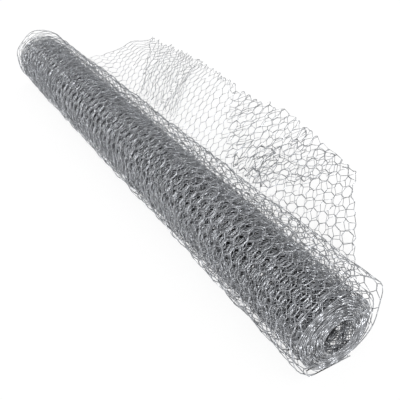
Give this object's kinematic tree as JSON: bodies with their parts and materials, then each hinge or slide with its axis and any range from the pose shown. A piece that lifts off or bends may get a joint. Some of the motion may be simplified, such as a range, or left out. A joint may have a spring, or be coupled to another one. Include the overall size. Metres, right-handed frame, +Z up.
{
  "type": "roll of wire netting",
  "caption": "Roll of hexagonal twisted steel wire netting lying on its side, with an open bore, a loose outer turn and a free end that bends up behind it.",
  "frame": {"origin": "on the floor, below the middle of the whole outline", "axes": "X along the roll, towards the end where the inner turns stand out; Y from the roll towards its free end; Z up"},
  "size_m": [1.006, 0.3005, 0.1292],
  "materials": {
    "wire": "drawn and twisted stainless steel wire, dull grey with small glints"
  },
  "bodies": {
    "root": {"netting_roll": "wire"}
  },
  "joints": []
}
